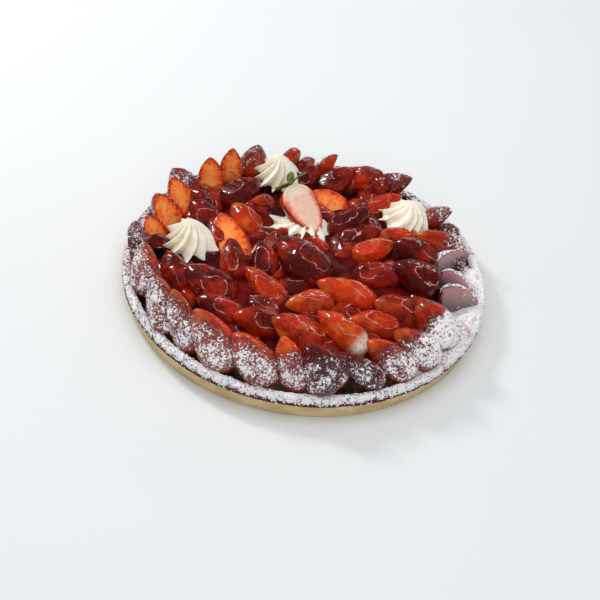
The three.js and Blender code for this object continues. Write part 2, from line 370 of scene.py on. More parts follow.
# %% The shell
def make_shell(material):
    profile = np.array(shell_profile()[1:-1])
    rings = turned_rings(profile[:, 0], profile[:, 1], SHELL_STEPS)
    points = np.vstack([[0, 0, 0], rings, [0, 0, FLOOR]])
    turn = np.arctan2(points[:, 1], points[:, 0])
    wave = np.sin(3 * turn + 1) + 0.6 * np.sin(7 * turn) + 0.4 * np.sin(13 * turn + 2)
    points[:, 2] += RIM_WAVE * np.clip((points[:, 2] - FLOOR) / WALL_HEIGHT, 0, None) * wave
    up = smoothstep(9.5, 14, points[:, 2])
    reach = np.hypot(points[:, 0], points[:, 1])
    out = points * [1, 1, 0] / np.maximum(reach, 1)[:, None]
    wall = smoothstep(104, 107, reach) * smoothstep(0.5, 2, points[:, 2])
    rough = 0.15 + 0.12 * uneven(points, 9, 3) + 0.1 * uneven(points, 2.4, 4)
    points -= out * (wall * rough)[:, None]
    sugar = up * sugar_fall(points)
    heaped = np.clip(0.5 + 0.5 * uneven(points, 3.5, 5) + 0.35 * uneven(points, 1.6, 6), 0, 1.4)
    points[:, 2] += SUGAR_HEAP * up * heaped * sugar_fall(points)
    faces = grid_faces(len(profile), SHELL_STEPS)
    piece = make_object("pastry_shell", points, faces, material, {"dust": sugar, "high": up})
    print("shell:", len(faces), "faces, top at", round(float(points[:, 2].max()), 2), "mm")
    return piece


# %% [markdown]
# Baked shortcrust is pale gold, darker where the oven caught it, with a sandy grain. Icing sugar is a white
# coat with ragged edges: fine noise decides, point by point, whether sugar or pastry shows. The same rule
# dusts the strawberries, so it has its own function.

# %% Colours of sugar and pastry
SUGAR_WHITE = (0.85, 0.83, 0.84)
SUGAR_SHARPNESS = 20.0
PASTRY_PALE = (0.68, 0.54, 0.29)
PASTRY_GOLD = (0.54, 0.38, 0.17)
PASTRY_TOASTED = (0.30, 0.165, 0.06)
PASTRY_STAINED = (0.075, 0.012, 0.016)
PASTRY_DUSTY = (0.46, 0.34, 0.37)


# %% Where sugar shows
def sugar_mask(finish, amount, size_mm=1.0, clumps=0.3):
    """1 where sugar covers the surface. It grows from fine specks to a full coat as the amount goes up."""
    fine = finish.noise(size_mm, 3.0, 0.6, 0.9)
    coarse = finish.noise(size_mm * 3.2, 2.0, 0.5)
    field = fine * (1 - clumps) + coarse * clumps
    level = 0.70 - amount * 0.36
    return ((field - level) * SUGAR_SHARPNESS).clamp() * amount.between(0.02, 0.1)


# %% Pastry finish
def pastry_finish():
    finish = Finish("baked_pastry", Roughness=0.7, Specular_IOR_Level=0.3)
    high = finish.value("high")
    patches = finish.noise(16, 4, 0.6).between(0.35, 0.7)
    grain = finish.noise(0.9, 4, 0.65)
    colour = finish.blend(PASTRY_PALE, PASTRY_GOLD, patches)
    colour = finish.blend(colour, PASTRY_TOASTED, grain.between(0.56, 0.7) * 0.5)
    edge = finish.noise(2.4, 3, 0.6) * 0.7 + finish.noise(16, 2, 0.5) * 0.5 - 0.3 + high
    colour = finish.blend(colour, PASTRY_STAINED, edge.between(0.32, 0.5) * high.between(0.0, 0.12))
    dust = finish.value("dust")
    colour = finish.blend(colour, PASTRY_DUSTY, dust.between(0.4, 1.0) * 0.4)
    sugar = sugar_mask(finish, dust * 0.96, 2.0)
    colour = finish.blend(colour, SUGAR_WHITE, sugar)
    finish.set(Base_Color=colour, Roughness=sugar * 0.2 + 0.68)
    finish.set(Normal=finish.bump(grain + sugar * 0.8, 0.35))
    return finish.material


shell = make_shell(pastry_finish())

# %% [markdown]
# Almond cream bakes to a dull brown, rough top. It only shows in the dark gaps just inside the rim, so a
# turned profile with small waves is enough, and its colours are painted shade, near black to dark brown.
# Bump gives the pores, which are too fine for the mesh.

# %% Sizes and colours of the almond cream
CREAM_LEVEL = 10
CREAM_MIDDLE = 16
CREAM_STEPS = 240
GAP = 0.3
ALMOND_PAINTED_SHADE_DARK = (0.014, 0.010, 0.009)
ALMOND_PAINTED_SHADE_BROWN = (0.075, 0.045, 0.028)


# %% The almond cream
def almond_finish():
    finish = Finish("almond_cream", Roughness=0.65)
    patches = finish.noise(5, 4, 0.6).between(0.35, 0.65)
    # Painted shade: both colours are far darker than baked almond cream, as dark as the shaded gaps.
    colour = finish.blend(ALMOND_PAINTED_SHADE_DARK, ALMOND_PAINTED_SHADE_BROWN, patches)
    finish.set(Base_Color=colour, Normal=finish.bump(finish.noise(1.2, 5, 0.7), 0.5))
    return finish.material


def make_almond_cream(material):
    edge = RIM_INNER - 1 - 2 * GAP
    inward = np.linspace(edge - 0.5, 4, 44)
    domed = CREAM_LEVEL + (CREAM_MIDDLE - CREAM_LEVEL) * smoothstep(-92, -58, -inward)
    radius = [40, edge, edge, edge, *inward]
    height = [FLOOR + GAP, FLOOR + GAP, 7.5, CREAM_LEVEL - 0.6, *domed]
    rings = turned_rings(radius, height, CREAM_STEPS)
    points = np.vstack([[0, 0, FLOOR + GAP], rings, [0, 0, CREAM_MIDDLE]])
    top = smoothstep(8.5, 9.6, points[:, 2])
    points[:, 2] -= top * 0.3 * (1 + uneven(points, 7, 11))
    faces = grid_faces(len(radius), CREAM_STEPS)
    print("almond cream:", len(faces), "faces")
    return make_object("almond_cream", points, faces, material)


almond_cream = make_almond_cream(almond_finish())

# %% [markdown]
# A strawberry half is widest near its stem end and tapers to a blunt tip. Each row below is one piece: its
# name, where its stem end stands (azimuth, radius and lift), how it turns, rises and rolls, and its length,
# width and depth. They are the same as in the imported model. The last number is its tone, from 0 for a deep
# red to 1 for a bright orange red. The tucked and bed pieces are only here, and fill the gaps of the rest.

# %% The pieces in the middle
DEEP, MID, BRIGHT = 0.1, 0.45, 0.9
INNER = [
    ("inner_01", -52, 22, 18, 17, 14, 0, 42, 28, 12, DEEP),
    ("inner_02", -163, 42, 16, 97, 17, 172, 41, 24, 9, BRIGHT),
    ("inner_03", -36, 54, 17, 23, 11, -10, 38, 19, 11, BRIGHT),
    ("inner_04", -61, 38, 16, 87, 14, -10, 31, 18, 10, 0.8),
    ("inner_05", 17, 29, 17, -172, 20, 0, 28, 18, 9, BRIGHT),
    ("inner_06", -148, 47, 16, 74, 24, 5, 29, 17, 9, 0.3),
    ("inner_06", -137, 28, 15, 70, 26, 0, 27, 19, 10, DEEP),
    ("inner_07", -11, 29, 15, -173, 15, 0, 31, 20, 10, 0.3),
    ("inner_08", -101, 40, 15, 64, 13, -30, 36, 16, 9, 0.7),
    ("inner_09", 50, 26, 15, 156, 18, 20, 32, 17, 9, DEEP),
    ("inner_09", 69, 31, 17, 152, 16, 20, 34, 17, 9, DEEP),
    ("inner_10", 68, 57, 18, -79, 22, 150, 27, 18, 8, BRIGHT),
    ("inner_11", 152, 38, 16, 165, 28, 8, 26, 20, 10, 0.7),
]

# %% The outer ring
OUTER = [
    ("outer_01", -31, 103, 13, -12, 31, -10, 35, 24, 12, MID),
    ("outer_02", -39, 103, 13, 37, 35, -20, 33, 22, 11, MID),
    ("outer_03", -75, 99, 13, 52, 44, -30, 30, 28, 13, DEEP),
    ("outer_04", -109, 98, 12, 67, 33, -42, 40, 24, 11, BRIGHT),
    ("outer_05", -134, 99, 12, 76, 38, -45, 36, 20, 10, 0.7),
    ("outer_06", -95, 99, 12, 64, 36, -35, 36, 22, 10, BRIGHT),
    ("outer_07", -49, 103, 13, 39, 31, -40, 34, 20, 10, 0.6),
    ("outer_08", -123, 99, 12, 68, 37, -50, 38, 18, 9, 0.6),
    ("outer_09", -153, 96, 12, 85, 42, -60, 33, 22, 10, BRIGHT),
    ("outer_10", -86, 100, 12, 36, 46, -55, 32, 19, 9, BRIGHT),
    ("outer_11", -60, 102, 14, 54, 27, -50, 34, 16, 8, DEEP),
    ("outer_12", -12, 82, 14, -159, 8, -105, 25, 25, 11, DEEP),
    ("outer_13", 2, 79, 14, 149, 6, -105, 27, 24, 10, DEEP),
    ("outer_14", 7, 79, 14, -141, 4, -105, 31, 21, 10, DEEP),
    ("outer_15", 20, 103, 12, -14, 24, -20, 35, 19, 10, 0.7),
    ("outer_16", 177, 87, 12, 170, 52, 180, 22, 21, 8, MID),
    ("outer_17", 166, 84, 12, 172, 50, 176, 27, 22, 8, BRIGHT),
    ("outer_18", 155, 83, 12, 172, 47, 172, 28, 19, 8, BRIGHT),
    ("outer_19", 147, 93, 12, -168, 52, -20, 25, 22, 9, 0.35),
    ("outer_20", 138, 91, 12, 146, 62, 168, 24, 17, 7, BRIGHT),
    ("outer_21", 128, 93, 12, 142, 70, 172, 25, 16, 7, BRIGHT),
    ("outer_22", 119, 93, 12, 130, 66, 20, 25, 20, 9, MID),
    ("outer_23", 103, 94, 12, 35, 74, 10, 27, 18, 9, MID),
    ("outer_24", 89, 93, 12, 88, 68, 5, 24, 16, 8, 0.7),
    ("outer_24", 97, 95, 12, 60, 62, 15, 18, 19, 8, MID),
    ("outer_25", 81, 91, 12, 90, 34, 35, 33, 18, 9, 0.7),
    ("outer_26", 70, 90, 12, 104, 34, 40, 36, 18, 10, 0.3),
    ("outer_27", 39, 91, 12, 112, 53, 25, 29, 17, 9, MID),
    ("outer_27", 32, 95, 12, 113, 38, 20, 19, 17, 8, DEEP),
]

# %% The ring between them
MIDDLE = [
    ("middle_01", -60, 79, 15, 31, 21, -5, 36, 18, 11, BRIGHT),
    ("middle_02", -77, 70, 14, 66, 23, -5, 34, 24, 11, 0.6),
    ("middle_03", -38, 74, 15, 48, 13, -12, 33, 18, 10, 0.7),
    ("middle_04", -133, 57, 16, 112, 17, -18, 35, 23, 11, 0.2),
    ("middle_05", -119, 66, 15, 106, 20, -20, 29, 20, 9, 0.2),
    ("middle_06", -99, 59, 15, 108, 20, -15, 30, 20, 10, 0.3),
    ("middle_07", 142, 72, 15, 88, 15, 0, 32, 22, 11, DEEP),
    ("middle_08", 12, 80, 14, -14, 28, -8, 31, 22, 11, DEEP),
    ("middle_09", -4, 80, 14, -2, 27, -10, 32, 26, 12, 0.0),
    ("middle_10", -27, 75, 14, 30, 24, -10, 28, 22, 11, 0.4),
    ("middle_11", 28, 80, 15, -13, 13, -22, 33, 17, 9, 0.6),
    ("middle_12", 88, 71, 16, 132, 26, 15, 29, 18, 9, DEEP),
    ("middle_12", 98, 74, 15, 138, 44, 5, 20, 17, 9, DEEP),
    ("middle_13", 158, 63, 14, 176, 30, 0, 24, 20, 9, DEEP),
    ("middle_14", -149, 78, 14, 92, 25, -45, 30, 19, 10, 0.2),
]

# %% Small tucked pieces
TUCKED = [
    ("tucked_01", 60, 67, 14, 149, 24, 15, 27, 17, 9, 0.6),
    ("tucked_02", 46, 15, 17, -84, 29, 0, 14, 9, 6, 0.7),
    ("tucked_03", -179, 83, 12, -139, 46, 20, 22, 13, 8, DEEP),
    ("tucked_04", 139, 103, 12, -95, 56, 160, 20, 15, 7, DEEP),
    ("tucked_05", 149, 75, 14, -178, 33, 0, 19, 15, 8, 0.2),
    ("tucked_06", -69, 86, 14, 71, 30, -60, 22, 11, 6, DEEP),
    ("tucked_07", 34, 93, 12, 106, 35, 20, 20, 14, 8, DEEP),
    ("tucked_08", -171, 100, 12, 150, 66, 20, 19, 16, 8, DEEP),
    ("tucked_09", 118, 57, 18, -86, 26, 0, 17, 10, 6, 0.6),
    ("tucked_10", -114, 36, 14, -94, 8, 0, 22, 15, 7, 0.1),
    ("tucked_11", -119, 80, 14, 103, 9, 0, 24, 14, 7, 0.1),
    ("tucked_12", 61, 57, 14, -173, 15, 10, 22, 13, 7, 0.3),
    ("tucked_13", 170, 22, 14, 60, 8, 0, 24, 16, 7, 0.2),
    ("tucked_14", -60, 60, 13, 20, 8, 0, 26, 16, 7, DEEP),
    ("tucked_15", 0, 60, 13, 160, 10, 0, 24, 16, 7, DEEP),
    ("tucked_16", -168, 62, 13, 60, 8, 0, 26, 16, 7, DEEP),
]

# %% The bed of low slices
# Each ring of the bed: radius, lift, first and last azimuth, and how many slices
BED_RINGS = [
    (95, 11, 24, 200, 11),
    (76, 13.6, -175, 180, 20),
    (52, 16.0, -180, 175, 13),
    (26, 16.4, -180, 170, 7),
    (84, 11.5, -168, -118, 4),
]
BED_SEED = 17


def bed_rows():
    """Low slices under the named ones. They fill the gaps, and the rest of the tart hides most of them."""
    draw = np.random.default_rng(BED_SEED)
    found = []
    for radius, lift, start, stop, count in BED_RINGS:
        for azimuth in np.linspace(start, stop, count, endpoint=False):
            place = (azimuth + draw.uniform(-4, 4), radius + draw.uniform(-3, 3), lift)
            turn = draw.uniform(55, 125) * draw.choice([-1, 1])
            lie = (turn, draw.uniform(3, 10), draw.uniform(-20, 20))
            size = (draw.uniform(24, 30), draw.uniform(15, 19), draw.uniform(6, 8))
            found.append(("bed", *place, *lie, *size, draw.uniform(0.0, 0.5)))
    return found


# %% The odd ones out, and the garnish
# Pieces whose cut face is pink, grey towards the middle and darker low down from painted shade, and pieces
# with a white stem end
ROSY_FLESH = ("outer_12", "outer_13", "outer_14")
PALE_STEMS = ("middle_01",)
GARNISH = ("garnish_half", 110, 47, 41, 25, -31, 180, 35, 24, 11, 0.5)
print(len(INNER + OUTER + MIDDLE + TUCKED), "strawberry pieces")

# %% [markdown]
# The skin has small pits, each with a seed, in staggered rows. The pits are real hollows in the mesh, so
# that glaze and sugar catch on them. The cut face bulges a little and its edge is soft. Sculpting could give
# each piece its own shape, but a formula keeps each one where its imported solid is. Values on the points say
# where the skin ends, how deep a pit is and how much sugar has fallen.

# %% Outline and seeds of one strawberry
SHOULDER = 0.34
SHOULDER_CURVE = 2.4
TIP_CURVE = 1.9
TIP_BLUNTNESS = 0.7
SEED_STEP = 3.3


def berry_outline(u):
    t = np.clip((u - SHOULDER) / (1 - SHOULDER), 0, 1)
    s = np.clip((SHOULDER - u) / SHOULDER, 0, 1)
    return np.where(u < SHOULDER, np.sqrt(1 - s ** SHOULDER_CURVE), (1 - t ** TIP_CURVE) ** TIP_BLUNTNESS)


def skin_point(u, turn, length, width, depth):
    outline = berry_outline(u)
    half = outline * width / 2
    high = depth * outline ** 0.8
    return np.stack([u * length + 0 * turn, half * np.cos(turn), high * np.sin(turn) ** 0.85], axis=-1)


def seed_grid(length, width, depth):
    """Where the seeds sit, as pairs of place along the berry and angle round it."""
    found = []
    draw = np.random.default_rng(int(length * 10 + width))
    rows = int((length - 5) / SEED_STEP)
    for row in range(rows):
        u = (3.2 + row * SEED_STEP) / length
        girth = math.pi * math.sqrt((width * width / 4 + depth * depth) / 2) * float(berry_outline(u))
        count = max(2, int(girth / (SEED_STEP * 1.15)))
        found += [(u, math.pi * (k + 0.35 + 0.5 * (row % 2)) / (count + 0.2)) for k in range(count)]
    spread = np.array([pair for pair in found if 0.12 < pair[1] < math.pi - 0.12])
    return spread + draw.normal(size=spread.shape) * [0.4 / length, 0.05]


# %% One strawberry in its place
STATIONS = 62
SKIN_SIDES = 40
CUT_SIDES = 14
BED_STATIONS = 36
BED_SIDES = 24
PIT_RADIUS = 0.85
PIT_DEPTH = 0.32
CUT_BULGE = 0.45
FLATTENING = 0.72
STEM_LENGTH = 8


def berry_place(row):
    _, azimuth, radius, lift, turn, rise, roll = row[:7]
    x, y = polar(azimuth, radius)
    return (Matrix.Translation((x, y, lift))
            @ Matrix.Rotation(math.radians(azimuth + 180 + turn), 4, "Z")
            @ Matrix.Rotation(math.radians(-rise), 4, "Y")
            @ Matrix.Rotation(math.radians(roll), 4, "X"))


def moved(points, place):
    turn = np.array(place.to_3x3())
    return points @ turn.T + np.array(place.translation)


# %% The points of one strawberry
def flatten_top(points, on_cut, depth, draw):
    """Presses a flat spot on the skin, and returns how far outside it each point was."""
    facing = np.array([draw.uniform(-0.10, 0.10), draw.uniform(-0.5, 0.5), 1])
    facing /= np.linalg.norm(facing)
    high = points @ facing
    level = high[on_cut < 0.5].max() - depth * draw.uniform(0.10, 0.17)
    over = np.clip(high - level, 0, None) * (on_cut < 0.5)
    points -= facing * (over * FLATTENING)[:, None]
    return high - level


def berry_points(row, seed):
    """Points, values and seeds of one strawberry piece, in its place in the tart."""
    length, width, depth, tone = row[7:11]
    draw = np.random.default_rng(seed)
    stations, skin_sides = (BED_STATIONS, BED_SIDES) if row[0] == "bed" else (STATIONS, SKIN_SIDES)
    # Rings that run over the skin and back across the cut face
    u = 0.5 - 0.5 * np.cos(np.pi * np.arange(1, stations) / stations)
    turn = np.linspace(0, np.pi, skin_sides + 1)
    skin = skin_point(u[:, None], turn[None, :], length, width, depth)
    half = (berry_outline(u) * width / 2)[:, None]
    across = np.linspace(-1, 1, CUT_SIDES + 2)[1:-1][None, :]
    across = np.sign(across) * np.abs(across) ** 0.8
    bulge = CUT_BULGE * (1 - across ** 6) * np.minimum(1, half / 4)
    flat = np.stack([(u * length)[:, None] + 0 * bulge, half * across, -bulge], axis=-1)
    rings = np.concatenate([skin, flat], axis=1)
    on_cut = np.concatenate([np.zeros(skin.shape[:2]), np.ones(flat.shape[:2])], axis=1)
    ends_near = np.minimum(1, 4 * np.minimum(u, 1 - u))[:, None]
    within = (1 - np.abs(across)) * np.minimum(1, half / 5) * ends_near
    inward = np.concatenate([np.zeros(skin.shape[:2]), within], axis=1)
    count = rings.shape[1]
    points = np.vstack([[0, 0, depth * 0.05], rings.reshape(-1, 3), [length, 0, depth * 0.05]])
    on_cut, inward = with_ends(on_cut), with_ends(inward)
    # A pit round each seed, and a body that isn't quite regular
    grid = seed_grid(length, width, depth)
    seeds = skin_point(grid[:, 0], grid[:, 1], length, width, depth)
    core = points * [1, 0, 0] + [0, 0, depth * 0.15]
    inner = core - points
    inner /= np.maximum(np.linalg.norm(inner, axis=1), 1e-6)[:, None]
    near = np.min(np.linalg.norm(points[:, None, :] - seeds[None, :, :], axis=2), axis=1)
    pit = np.exp(-(near / PIT_RADIUS) ** 2) * (1 - on_cut)
    body = 0.55 * uneven(points, 13, seed) + 0.22 * uneven(points, 5, seed + 2)
    body *= np.minimum(1, points[:, 2].clip(0) / 3)
    points = points + inner * (pit * PIT_DEPTH - body)[:, None]
    outside = flatten_top(points, on_cut, depth, draw)
    # Values for the finish, and a direction for each seed
    place = berry_place(row)
    one_ring = np.concatenate([turn, 5 + np.abs(across.ravel())])
    girth = with_ends(np.tile(one_ring, stations - 1))
    along = with_ends(np.repeat(u, count), 0, 1)
    film = np.where(on_cut > 0.5, (0.16 - inward) * 5, outside * 0.55 + 0.10 * uneven(points, 5, seed + 1))
    seed_in = np.array([length * 0.5, 0, depth * 0.1]) - seeds
    seed_in[:, 0] = 0
    seed_in /= np.linalg.norm(seed_in, axis=1)[:, None]
    spots = moved(seeds + seed_in * (PIT_DEPTH * 0.75), place)
    outward = (-seed_in) @ np.array(place.to_3x3()).T
    lengthways = np.tile(np.array(place.to_3x3()) @ np.array([1, 0, 0]), (len(seeds), 1))
    return {
        "points": moved(points, place), "rings": rings.shape[0], "count": count,
        "values": {"cut": on_cut, "inward": inward, "pit": pit, "tone": 0 * pit + tone, "film": film,
                   "rosy_face_painted_shade": 0 * pit + (row[0] in ROSY_FLESH), "along": along, "girth": girth,
                   "unripe": (row[0] in PALE_STEMS) * np.exp(-(along * length / STEM_LENGTH) ** 5)},
        "seeds": spots, "outward": outward, "seed_along": lengthways, "seed_tone": np.full(len(seeds), tone),
    }


# %% [markdown]
# Sugar falls from above, so what faces up and lies near the rim gets most. The inner rings were glazed after
# it, and stay clear. The amount is worked out from the directions of the faces and kept on the points, so
# that the finish only has to read it, from whatever side the tart is seen.

# %% Sugar on the strawberries
DUST_FROM, DUST_TO = 78.0, 99.0


def point_normals(points, faces):
    total = np.zeros_like(points)
    for size in (3, 4):
        group = np.array([face for face in faces if len(face) == size])
        first, second, third = (points[group[:, corner]] for corner in range(3))
        normal = np.cross(second - first, third - first)
        for corner in range(size):
            np.add.at(total, group[:, corner], normal)
    return total / np.maximum(np.linalg.norm(total, axis=1), 1e-9)[:, None]


def berry_dust(points, normals, values):
    front = smoothstep(40, -20, points[:, 1])
    reach = np.hypot(points[:, 0], points[:, 1]) + (0.05 + 0.3 * front) * (20 - points[:, 2])
    near_rim = smoothstep(DUST_FROM, DUST_TO, reach)
    upward = smoothstep(-0.7, 0.35, normals[:, 2])
    angle = np.degrees(np.arctan2(points[:, 1], points[:, 0]))
    heap = (1 - smoothstep(8, 26, azimuth_gap(angle, -22))) * smoothstep(80, 94, reach)
    dust = 0.78 * near_rim * upward * sugar_fall(points, 0.66) + heap * upward * 0.4
    dust *= 0.8 + 0.2 * smoothstep(0.1, 0.4, values["tone"])
    dust += 0.12 * near_rim * uneven(points, 9, 41)
    sheltered = values["cut"] * (0.35 + 0.5 * values["inward"])
    ridge = 0.85 * values["rosy_face_painted_shade"] * (1 - values["cut"]) * smoothstep(0.1, 0.45, normals[:, 2])
    return np.clip(np.maximum(dust * (1 - sheltered), ridge), 0, 1)


# %% Strawberry objects
def make_berries(rows, material):
    """One object for each name in the rows, each with its values; also all the seeds."""
    objects, spots = {}, []
    for name in dict.fromkeys(row[0] for row in rows):
        points, faces, values, start = [], [], {}, 0
        for row in [row for row in rows if row[0] == name]:
            made = berry_points(row, seed=int(abs(row[1]) * 7 + row[2]))
            part_faces = grid_faces(made["rings"], made["count"])
            normals = point_normals(made["points"], part_faces)
            made["values"]["dust"] = berry_dust(made["points"], normals, made["values"])
            points.append(made["points"])
            faces += [tuple(i + start for i in face) for face in part_faces]
            start += len(made["points"])
            for key, numbers in made["values"].items():
                values.setdefault(key, []).append(numbers)
            spots.append((made["seeds"], made["outward"], made["seed_along"], made["seed_tone"]))
        joined = {key: np.concatenate(numbers) for key, numbers in values.items()}
        objects[name] = make_object(name + "_berry", np.vstack(points), faces, material, joined)
    return objects, spots


# %% [markdown]
# Under clear glaze a ripe strawberry is a dark, wet red. Its skin goes to orange where it is less ripe, and
# the cut flesh is paler, with faint streaks towards the edge. Noise stretched along the piece draws the
# streaks. The glaze itself is a clear coat. Where it set it left a thin raised line round the top of each
# piece: a bump raises it, and a pale pink painted highlight on it stands for the light it catches.

# %% Colours of the strawberries
SKIN_DEEP = (0.075, 0.001, 0.002)
SKIN_BRIGHT = (0.60, 0.026, 0.002)
SKIN_AMBER = (0.58, 0.135, 0.014)
FLESH_RED = (0.40, 0.012, 0.006)
FLESH_ORANGE = (0.98, 0.16, 0.015)
FLESH_PALE = (0.93, 0.60, 0.47)
FLESH_CORE = (1.0, 0.37, 0.10)
FLESH_EDGE = (0.86, 0.15, 0.05)
FLESH_STEM = (1.0, 0.86, 0.62)
FLESH_ROSY = (0.52, 0.20, 0.25)
FLESH_GREY_PAINTED_SHADE = (0.38, 0.27, 0.25)
FLESH_LOW_PAINTED_SHADE = (0.10, 0.085, 0.08)
GLAZE_PAINTED_HIGHLIGHT = (0.92, 0.50, 0.44)
STEM_WHITE = (0.95, 0.88, 0.74)
PIT_PAINTED_SHADE = (0.05, 0.001, 0.002)
SUGARED_AND_PAINTED_SHADE_DEEP = (0.035, 0.003, 0.008)
SUGARED_AND_PAINTED_SHADE_BRIGHT = (0.085, 0.012, 0.013)
SUGAR_VEIL = (0.52, 0.37, 0.41)


# %% Strawberry finish
def berry_finish(name, pale=False):
    finish = Finish(name, IOR=1.4, Specular_IOR_Level=0.25, Coat_Roughness=0.05, Subsurface_Weight=0.08,
                    Subsurface_Radius=(1.0, 0.2, 0.1), Subsurface_Scale=0.002)
    tone, cut, inward = finish.value("tone"), finish.value("cut"), finish.value("inward")
    pit, dust, film = finish.value("pit"), finish.value("dust"), finish.value("film")
    drift = finish.noise(11, 3, 0.5) - 0.5
    along = finish.value("along")
    grain = finish.node("ShaderNodeCombineXYZ", None, {
        0: along * (2.5 + cut * 5.0), 1: finish.value("girth") * (5.0 - cut * 3.4), 2: tone * 9.0})
    fibre = finish.node("ShaderNodeTexNoise", None, {"Vector": grain, "Scale": 2.2, "Detail": 3.0}) - 0.5
    ripe = (tone + drift * 2.0 + fibre * 0.9).clamp()
    skin = finish.blend(SKIN_DEEP, SKIN_BRIGHT, ripe)
    patch = finish.noise(7, 3, 0.5) - 0.5
    amber = (patch * 3.0 + fibre * 1.2 + along.between(0.7, 1.0) * 0.5 + tone * 0.4 - 0.3).clamp()
    amber = amber * tone.between(0.2, 0.6)
    skin = finish.blend(skin, SKIN_AMBER, amber)
    # Painted shade: the seed pits are darkened a little.
    skin = finish.blend(skin, PIT_PAINTED_SHADE, pit * 0.2)
    mottle = finish.noise(3.6, 4, 0.6) - 0.5
    # The skin is darker under the sugar, and below 10 to 18 mm a painted shade darkens the lower ends of the
    # pieces in the same colours.
    sugared_and_painted_shade = finish.blend(SUGARED_AND_PAINTED_SHADE_DEEP, SUGARED_AND_PAINTED_SHADE_BRIGHT, tone.between(0.12, 0.4))
    under_sugar_and_painted_shade = (dust.between(0.1, 0.5) + 1 - finish.height().between(0.010, 0.018)).clamp()
    skin = finish.blend(skin, sugared_and_painted_shade, under_sugar_and_painted_shade * (mottle * 2.4 + 0.66).clamp())
    orange = (inward.between(0.0, 0.45) + tone * 0.3 + fibre * 1.6 + mottle * 3.4 - 0.2).clamp()
    flesh = finish.blend(FLESH_RED, FLESH_ORANGE, orange)
    core = (inward * 1.4 + fibre * 1.6 + mottle * 2.4 - 0.45).clamp()
    flesh = finish.blend(flesh, FLESH_CORE, core * 0.85)
    if pale:
        flesh = finish.blend(flesh, FLESH_EDGE, 0.75)
        heart = (inward.between(0.06, 0.5) + fibre * 0.9 + mottle * 1.5).clamp()
        flesh = finish.blend(flesh, FLESH_PALE, heart)
        flesh = finish.blend(flesh, FLESH_STEM, 1 - (along + fibre * 0.2).between(0.06, 0.32))
    # Painted shade on the pink cut faces: grey towards the middle, and darker low down.
    rosy_face_painted_shade = finish.blend(FLESH_ROSY, FLESH_GREY_PAINTED_SHADE, (inward + fibre * 1.5 + mottle * 1.5).between(0.15, 0.8))
    rosy_face_painted_shade = finish.blend(rosy_face_painted_shade, FLESH_LOW_PAINTED_SHADE, 1 - finish.height().between(0.009, 0.024))
    rosy_face_painted_shade = finish.blend(rosy_face_painted_shade, SKIN_DEEP, 1 - (along + fibre * 0.08).between(0.10, 0.16))
    flesh = finish.blend(flesh, rosy_face_painted_shade, finish.value("rosy_face_painted_shade"))
    colour = finish.blend(skin, flesh, cut)
    colour = finish.blend(colour, STEM_WHITE, finish.value("unripe"))
    broken = finish.noise(5.0, 2, 0.5).between(0.40, 0.52)
    # The glaze ridge, which the bump raises, also carries a painted highlight in the base colour.
    glaze_ridge_and_painted_highlight = (1 - film.math("ABSOLUTE").between(0.0, 0.09)) * broken * (1 - dust.between(0.0, 0.2))
    colour = finish.blend(colour, GLAZE_PAINTED_HIGHLIGHT, glaze_ridge_and_painted_highlight * 0.75)
    colour = finish.blend(colour, SUGAR_VEIL, dust.between(0.25, 0.9) * 0.2)
    flecks = (pit.between(0.08, 0.4) - pit.between(0.55, 0.9) * 2.0) * 0.16
    sugar = sugar_mask(finish, dust * (flecks + 0.86), 1.5, clumps=0.2)
    colour = finish.blend(colour, SUGAR_WHITE, sugar * 0.95)
    height = glaze_ridge_and_painted_highlight * 0.5 + finish.noise(3.2, 2, 0.5) * (cut * 0.7 + 0.35) + sugar * 0.6
    finish.set(Base_Color=colour, Roughness=sugar * 0.55 + 0.33, Coat_Weight=(1 - sugar) * (1 - dust) * 0.9)
    finish.set(Normal=finish.bump(height, 0.6))
    return finish.material


# %% All the strawberries
rows = INNER + OUTER + MIDDLE + TUCKED + bed_rows()
berries, seed_spots = make_berries(rows, berry_finish("strawberry"))
berry_faces = sum(len(berry.data.polygons) for berry in berries.values())
print("strawberries:", len(berries), "objects,", berry_faces, "faces")

# %% [markdown]
# Seeds repeat by the thousand, so Geometry Nodes place them: each point of a small guide mesh carries the
# direction out of the skin, and a flattened ball is set there. Realize Instances makes them real mesh.

